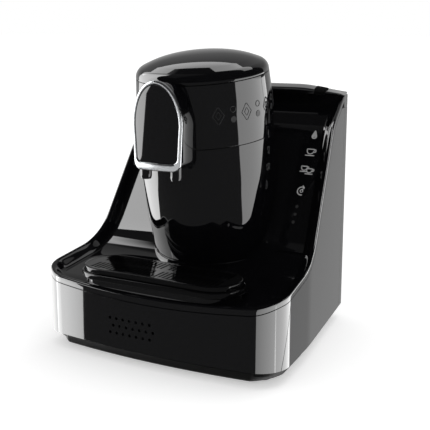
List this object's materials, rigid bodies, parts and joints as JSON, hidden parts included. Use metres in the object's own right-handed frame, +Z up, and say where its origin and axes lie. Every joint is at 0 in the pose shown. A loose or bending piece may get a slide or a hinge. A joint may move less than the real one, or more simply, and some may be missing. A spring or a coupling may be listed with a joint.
{
  "type": "electric turkish coffee maker",
  "caption": "Gloss black turkish coffee maker: leaning round brewing tower with hinged lid and chrome-framed spout over a slotted drip tray, sweeping back with touch panel and lift-out water tank.",
  "frame": {"origin": "on the table, under the middle of the machine's box", "axes": "+Z up, -Y is the front with the spout and the drip tray, X is across and the housing is symmetric about X = 0"},
  "size_m": [0.2526, 0.237, 0.2853],
  "materials": {
    "pan_plastic": "fine grain, matte",
    "foot_rubber": "matte",
    "screw_steel": "zinc plated",
    "gloss_black": "high gloss moulded ABS",
    "insert_black": "high gloss",
    "chrome": "polished plating",
    "steel": "satin stainless steel",
    "seal_silicone": "matte silicone",
    "inner_plastic": "matte",
    "heater_alloy": "cast",
    "fuse_ceramic": "matte",
    "coil_copper": "varnished winding",
    "tray_plastic": "gloss",
    "tank_clear": "smoked clear",
    "valve_plastic": "natural acetal",
    "hose_silicone": "milky silicone",
    "pump_metal": "grey",
    "circuit_board": "solder mask"
  },
  "bodies": {
    "housing": {"base_pan": "pan_plastic", "rubber_feet": "foot_rubber", "pump_mounts": "foot_rubber", "base_screws": "screw_steel", "lid_hinge_pin": "screw_steel", "front_cover": "gloss_black", "side_cover_left": "gloss_black", "side_cover_right": "gloss_black", "rear_cover": "gloss_black", "deck_shell": "gloss_black", "tray_well": "gloss_black", "tower_barrel": "gloss_black", "tower_collar": "gloss_black", "spout_housing": "gloss_black", "touch_panel": "gloss_black", "spout_insert": "insert_black", "spout_frame": "chrome", "brew_chamber": "steel", "temperature_sensor": "steel", "chamber_jacket": "inner_plastic", "tank_shelf": "inner_plastic", "tank_coupling": "inner_plastic", "outlet_manifold": "inner_plastic", "outlet_valve": "inner_plastic", "cord_gland": "inner_plastic", "nozzles": "inner_plastic", "heater_plate": "heater_alloy", "thermal_fuse": "fuse_ceramic", "valve_coil": "coil_copper", "led_guides": "valve_plastic", "suction_hose": "hose_silicone", "delivery_hose": "hose_silicone", "outlet_pipe": "hose_silicone", "pump": "pump_metal", "sounder": "pump_metal", "control_board": "circuit_board", "touch_board": "circuit_board"},
    "lid": {"tower_lid": "gloss_black", "lid_liner": "steel", "lid_seal": "seal_silicone", "foam_sensor": "steel"},
    "drip_tray": {"drip_tray": "tray_plastic"},
    "drip_grate": {"drip_grate": "tray_plastic"},
    "water_tank": {"water_tank": "tank_clear", "tank_valve_spring": "screw_steel"},
    "tank_lid": {"tank_lid": "gloss_black", "tank_lid_frame": "gloss_black", "tank_lid_tab": "inner_plastic"},
    "tank_valve": {"tank_valve": "valve_plastic", "tank_valve_seal": "seal_silicone"},
    "outlet_plunger": {"outlet_plunger": "screw_steel"}
  },
  "joints": [
    {"name": "lid_hinge", "type": "hinge", "parent": "housing", "child": "lid", "pos_m": [0, 0.05794, 0.26832], "axis": [-1, 0, 0], "range_deg": [0, 80]},
    {"name": "grate_lift", "type": "slide", "parent": "drip_tray", "child": "drip_grate", "axis": [0, 0, 1], "range_m": [0, 0.02]},
    {"name": "tray_lift", "type": "slide", "parent": "housing", "child": "drip_tray", "axis": [0, 0, 1], "range_m": [0, 0.03]},
    {"name": "tank_lift", "type": "slide", "parent": "housing", "child": "water_tank", "axis": [0, 0, 1], "range_m": [0, 0.14]},
    {"name": "tank_lid_lift", "type": "slide", "parent": "water_tank", "child": "tank_lid", "axis": [0, 0, 1], "range_m": [0, 0.06]},
    {"name": "valve_lift", "type": "slide", "parent": "water_tank", "child": "tank_valve", "axis": [0, 0, 1], "range_m": [0, 0.003], "stiffness_N_per_m": 60, "springref_m": -0.002, "deforming": ["tank_valve_spring"]},
    {"name": "plunger_pull", "type": "slide", "parent": "housing", "child": "outlet_plunger", "axis": [0, 0.1478, -0.989], "range_m": [0, 0.004], "stiffness_N_per_m": 120, "springref_m": -0.003}
  ]
}
